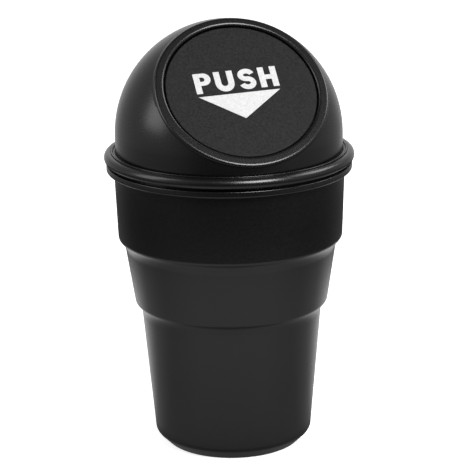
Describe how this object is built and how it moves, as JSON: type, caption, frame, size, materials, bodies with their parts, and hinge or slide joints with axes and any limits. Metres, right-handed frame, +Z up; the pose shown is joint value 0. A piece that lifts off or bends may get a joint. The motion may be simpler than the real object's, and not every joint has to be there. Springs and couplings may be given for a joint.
{
  "type": "car trash bin",
  "caption": "Small stepped waste bin that stands in a cup holder, with a push-on domed lid and a slanted round sprung flap.",
  "frame": {"origin": "centre of the flat base", "axes": "+Z up the bin, -Y towards the flap, +X to the right of someone facing the flap"},
  "size_m": [0.0932, 0.0932, 0.1627],
  "materials": {
    "bin_plastic": "black moulded polypropylene, satin",
    "lid_plastic": "black moulded polypropylene, satin with soft highlights",
    "flap_plastic": "black moulded polypropylene, fine matt grain",
    "pin_steel": "drawn steel rod",
    "spring_steel": "drawn spring wire"
  },
  "bodies": {
    "bin": {"bin_body": "bin_plastic"},
    "lid": {"dome_lid": "lid_plastic", "hinge_pin": "pin_steel", "return_spring": "spring_steel"},
    "flap": {"push_flap": "flap_plastic"}
  },
  "joints": [
    {"name": "lid_lift", "type": "slide", "parent": "bin", "child": "lid", "axis": [0, 0, 1], "range_m": [0, 0.03]},
    {"name": "flap_swing", "type": "hinge", "parent": "lid", "child": "flap", "pos_m": [0, -0.00041, 0.15174], "axis": [1, 0, 0], "range_deg": [0, 60], "stiffness_Nm_per_rad": 0.01, "springref_deg": -28.65, "deforming": ["return_spring"]}
  ]
}
